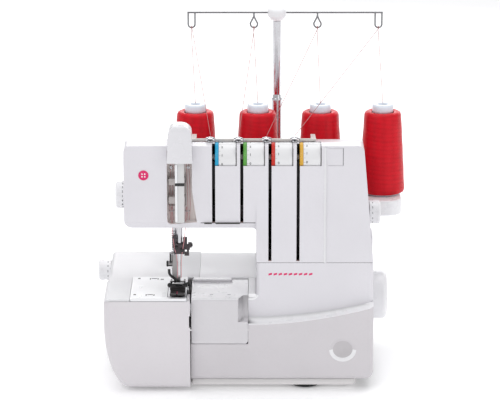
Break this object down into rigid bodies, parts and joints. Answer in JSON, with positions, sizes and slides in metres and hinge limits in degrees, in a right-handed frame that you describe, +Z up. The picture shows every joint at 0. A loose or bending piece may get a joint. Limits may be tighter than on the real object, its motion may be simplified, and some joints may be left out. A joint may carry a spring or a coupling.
{
  "type": "serger overlock machine",
  "caption": "White serger with a free-arm bed, thread-tension dials along the arm, thread cones on a rear tray and a telescopic thread guide mast",
  "frame": {"origin": "centre of the bounding box, on the surface the feet stand on", "axes": "+X to the operator's right, +Y to the rear, +Z up"},
  "size_m": [0.3538, 0.212, 0.3966],
  "materials": {
    "front_case": "smooth satin white moulding",
    "rear_case": "smooth satin white moulding",
    "bed_cover": "smooth satin white moulding",
    "tension_panel": "smooth satin white moulding",
    "side_cover": "smooth satin white moulding",
    "looper_cover": "smooth satin white moulding",
    "spool_tray": "smooth satin white moulding",
    "take_up_cover": "smooth satin white moulding",
    "presser_pressure_dial": "smooth satin white moulding",
    "differential_feed_dial": "smooth satin white moulding",
    "stitch_length_dial": "smooth satin white moulding",
    "handwheel": "smooth satin white moulding",
    "antenna_cap": "smooth satin white moulding",
    "presser_lifter": "smooth satin white moulding",
    "base_plate": "light grey moulding",
    "carry_handle": "grey-beige moulding",
    "foot_front_left": "black rubber",
    "foot_front_right": "black rubber",
    "foot_rear_left": "black rubber",
    "foot_rear_right": "black rubber",
    "drive_belt": "black rubber",
    "cloth_plate": "white enamelled steel",
    "needle_plate": "ground steel",
    "machine_frame": "die-cast",
    "motor": "ground steel",
    "motor_pulley": "ground steel",
    "main_shaft": "ground steel",
    "feed_dog": "ground steel",
    "lower_knife": "ground steel",
    "foot_holder": "ground steel",
    "needle_bar": "ground steel",
    "presser_bar": "ground steel",
    "upper_looper": "ground steel",
    "lower_looper": "ground steel",
    "left_needle": "ground steel",
    "right_needle": "ground steel",
    "antenna_tube": "bright plated",
    "antenna_rod": "bright plated",
    "antenna_guide": "bright plated",
    "thread_clip_1": "bright plated",
    "thread_clip_2": "bright plated",
    "thread_clip_3": "bright plated",
    "thread_clip_4": "bright plated",
    "needle_clamp": "darkened steel",
    "presser_foot": "darkened steel",
    "upper_knife": "darkened steel",
    "power_inlet": "black moulding",
    "power_switch": "black rocker",
    "tension_dial_1": "coloured ring on a numbered white drum",
    "tension_dial_2": "coloured ring on a numbered white drum",
    "tension_dial_3": "coloured ring on a numbered white drum",
    "tension_dial_4": "coloured ring on a numbered white drum",
    "thread_cone_1": "cross-wound polyester thread on a plastic cone",
    "thread_1": "fine polyester thread",
    "thread_cone_2": "cross-wound polyester thread on a plastic cone",
    "thread_2": "fine polyester thread",
    "thread_cone_3": "cross-wound polyester thread on a plastic cone",
    "thread_3": "fine polyester thread",
    "thread_cone_4": "cross-wound polyester thread on a plastic cone",
    "thread_4": "fine polyester thread"
  },
  "bodies": {
    "machine_body": {"machine_frame": "machine_frame", "base_plate": "base_plate", "foot_front_left": "foot_front_left", "foot_front_right": "foot_front_right", "foot_rear_left": "foot_rear_left", "foot_rear_right": "foot_rear_right", "front_case": "front_case", "rear_case": "rear_case", "bed_cover": "bed_cover", "cloth_plate": "cloth_plate", "needle_plate": "needle_plate", "tension_panel": "tension_panel", "take_up_cover": "take_up_cover", "motor": "motor", "drive_belt": "drive_belt", "power_inlet": "power_inlet", "spool_tray": "spool_tray", "antenna_tube": "antenna_tube", "lower_knife": "lower_knife", "thread_clip_1": "thread_clip_1", "thread_clip_2": "thread_clip_2", "thread_clip_3": "thread_clip_3", "thread_clip_4": "thread_clip_4", "thread_1": "thread_1", "thread_2": "thread_2", "thread_3": "thread_3", "thread_4": "thread_4"},
    "antenna_top": {"antenna_rod": "antenna_rod", "antenna_cap": "antenna_cap", "antenna_guide": "antenna_guide"},
    "cone_1": {"thread_cone_1": "thread_cone_1"},
    "cone_2": {"thread_cone_2": "thread_cone_2"},
    "cone_3": {"thread_cone_3": "thread_cone_3"},
    "cone_4": {"thread_cone_4": "thread_cone_4"},
    "tension_1": {"tension_dial_1": "tension_dial_1"},
    "tension_2": {"tension_dial_2": "tension_dial_2"},
    "tension_3": {"tension_dial_3": "tension_dial_3"},
    "tension_4": {"tension_dial_4": "tension_dial_4"},
    "pressure_knob": {"presser_pressure_dial": "presser_pressure_dial"},
    "differential_knob": {"differential_feed_dial": "differential_feed_dial"},
    "stitch_length_knob": {"stitch_length_dial": "stitch_length_dial"},
    "drive_shaft": {"handwheel": "handwheel", "main_shaft": "main_shaft"},
    "motor_drive": {"motor_pulley": "motor_pulley"},
    "needle_unit": {"needle_bar": "needle_bar", "needle_clamp": "needle_clamp", "left_needle": "left_needle", "right_needle": "right_needle"},
    "presser_unit": {"presser_bar": "presser_bar", "foot_holder": "foot_holder"},
    "presser_sole": {"presser_foot": "presser_foot"},
    "lifter_lever": {"presser_lifter": "presser_lifter"},
    "upper_looper_arm": {"upper_looper": "upper_looper"},
    "lower_looper_arm": {"lower_looper": "lower_looper"},
    "feed_unit": {"feed_dog": "feed_dog"},
    "knife_arm": {"upper_knife": "upper_knife"},
    "side_door": {"side_cover": "side_cover"},
    "looper_door": {"looper_cover": "looper_cover"},
    "rocker": {"power_switch": "power_switch"},
    "handle": {"carry_handle": "carry_handle"}
  },
  "joints": [
    {"name": "antenna_slide", "type": "slide", "parent": "machine_body", "child": "antenna_top", "axis": [0, 0, 1], "range_m": [-0.065, 0], "deforming": ["thread_1", "thread_2", "thread_3", "thread_4"]},
    {"name": "cone_1_spin", "type": "hinge", "parent": "machine_body", "child": "cone_1", "pos_m": [-0.0645, 0.061, 0.1873], "axis": [0, 0, 1], "continuous": true},
    {"name": "cone_2_spin", "type": "hinge", "parent": "machine_body", "child": "cone_2", "pos_m": [0.007, 0.061, 0.1873], "axis": [0, 0, 1], "continuous": true},
    {"name": "cone_3_spin", "type": "hinge", "parent": "machine_body", "child": "cone_3", "pos_m": [0.0785, 0.061, 0.1873], "axis": [0, 0, 1], "continuous": true},
    {"name": "cone_4_spin", "type": "hinge", "parent": "machine_body", "child": "cone_4", "pos_m": [0.15, 0.061, 0.1873], "axis": [0, 0, 1], "continuous": true},
    {"name": "tension_dial_1_turn", "type": "hinge", "parent": "machine_body", "child": "tension_1", "pos_m": [-0.0405, -0.0682, 0.261], "axis": [1, 0, 0], "range_deg": [-150, 150]},
    {"name": "tension_dial_2_turn", "type": "hinge", "parent": "machine_body", "child": "tension_2", "pos_m": [-0.0095, -0.0682, 0.261], "axis": [1, 0, 0], "range_deg": [-150, 150]},
    {"name": "tension_dial_3_turn", "type": "hinge", "parent": "machine_body", "child": "tension_3", "pos_m": [0.0215, -0.0682, 0.261], "axis": [1, 0, 0], "range_deg": [-150, 150]},
    {"name": "tension_dial_4_turn", "type": "hinge", "parent": "machine_body", "child": "tension_4", "pos_m": [0.0525, -0.0682, 0.261], "axis": [1, 0, 0], "range_deg": [-150, 150]},
    {"name": "presser_pressure_turn", "type": "hinge", "parent": "machine_body", "child": "pressure_knob", "pos_m": [-0.1413, -0.029, 0.2075], "axis": [1, 0, 0], "range_deg": [-135, 135]},
    {"name": "differential_feed_turn", "type": "hinge", "parent": "machine_body", "child": "differential_knob", "pos_m": [-0.1627, 0.06, 0.0934], "axis": [1, 0, 0], "range_deg": [-135, 135]},
    {"name": "stitch_length_turn", "type": "hinge", "parent": "machine_body", "child": "stitch_length_knob", "pos_m": [0.1328, -0.009, 0.1824], "axis": [1, 0, 0], "range_deg": [-135, 135]},
    {"name": "handwheel_spin", "type": "hinge", "parent": "machine_body", "child": "drive_shaft", "pos_m": [0.1355, -0.01, 0.0854], "axis": [1, 0, 0], "continuous": true},
    {"name": "motor_spin", "type": "hinge", "parent": "machine_body", "child": "motor_drive", "pos_m": [0.1, 0.048, 0.048], "axis": [1, 0, 0], "continuous": true},
    {"name": "needle_bar_slide", "type": "slide", "parent": "machine_body", "child": "needle_unit", "axis": [0, 0, 1], "range_m": [-0.025, 0]},
    {"name": "presser_bar_lift", "type": "slide", "parent": "machine_body", "child": "presser_unit", "axis": [0, 0, 1], "range_m": [0, 0.0055]},
    {"name": "presser_foot_tilt", "type": "hinge", "parent": "presser_unit", "child": "presser_sole", "pos_m": [-0.0822, -0.066, 0.117], "axis": [1, 0, 0], "range_deg": [-5, 2]},
    {"name": "presser_lifter_turn", "type": "hinge", "parent": "machine_body", "child": "lifter_lever", "pos_m": [-0.09, -0.044, 0.1915], "axis": [1, 0, 0], "range_deg": [0, 16]},
    {"name": "upper_looper_swing", "type": "hinge", "parent": "machine_body", "child": "upper_looper_arm", "pos_m": [-0.028, -0.0731, 0.062], "axis": [0, 1, 0], "range_deg": [-10, 4]},
    {"name": "lower_looper_swing", "type": "hinge", "parent": "machine_body", "child": "lower_looper_arm", "pos_m": [-0.056, -0.0793, 0.025], "axis": [0, 1, 0], "range_deg": [-8, 8]},
    {"name": "feed_dog_slide", "type": "slide", "parent": "machine_body", "child": "feed_unit", "axis": [0, 1, 0], "range_m": [-0.0015, 0.0015]},
    {"name": "upper_knife_swing", "type": "hinge", "parent": "machine_body", "child": "knife_arm", "pos_m": [-0.0693, -0.03, 0.084], "axis": [1, 0, 0], "range_deg": [0, 8]},
    {"name": "side_cover_slide", "type": "slide", "parent": "machine_body", "child": "side_door", "axis": [-1, 0, 0], "range_m": [0, 0.04]},
    {"name": "looper_cover_open", "type": "hinge", "parent": "machine_body", "child": "looper_door", "pos_m": [-0.067, -0.0975, 0.0563], "axis": [1, 0, 0], "range_deg": [0, 88]},
    {"name": "power_switch_rock", "type": "hinge", "parent": "machine_body", "child": "rocker", "pos_m": [0.1336, 0.051, 0.056], "axis": [0, 1, 0], "range_deg": [-8, 8]},
    {"name": "carry_handle_lift", "type": "hinge", "parent": "machine_body", "child": "handle", "pos_m": [0.002, -0.001, 0.2676], "axis": [-1, 0, 0], "range_deg": [0, 9]}
  ],
  "couplings": [
    {"joint": "motor_spin", "follows": "handwheel_spin", "ratio": 3},
    {"joint": "presser_lifter_turn", "follows": "presser_bar_lift", "rad_per_m": 50}
  ]
}
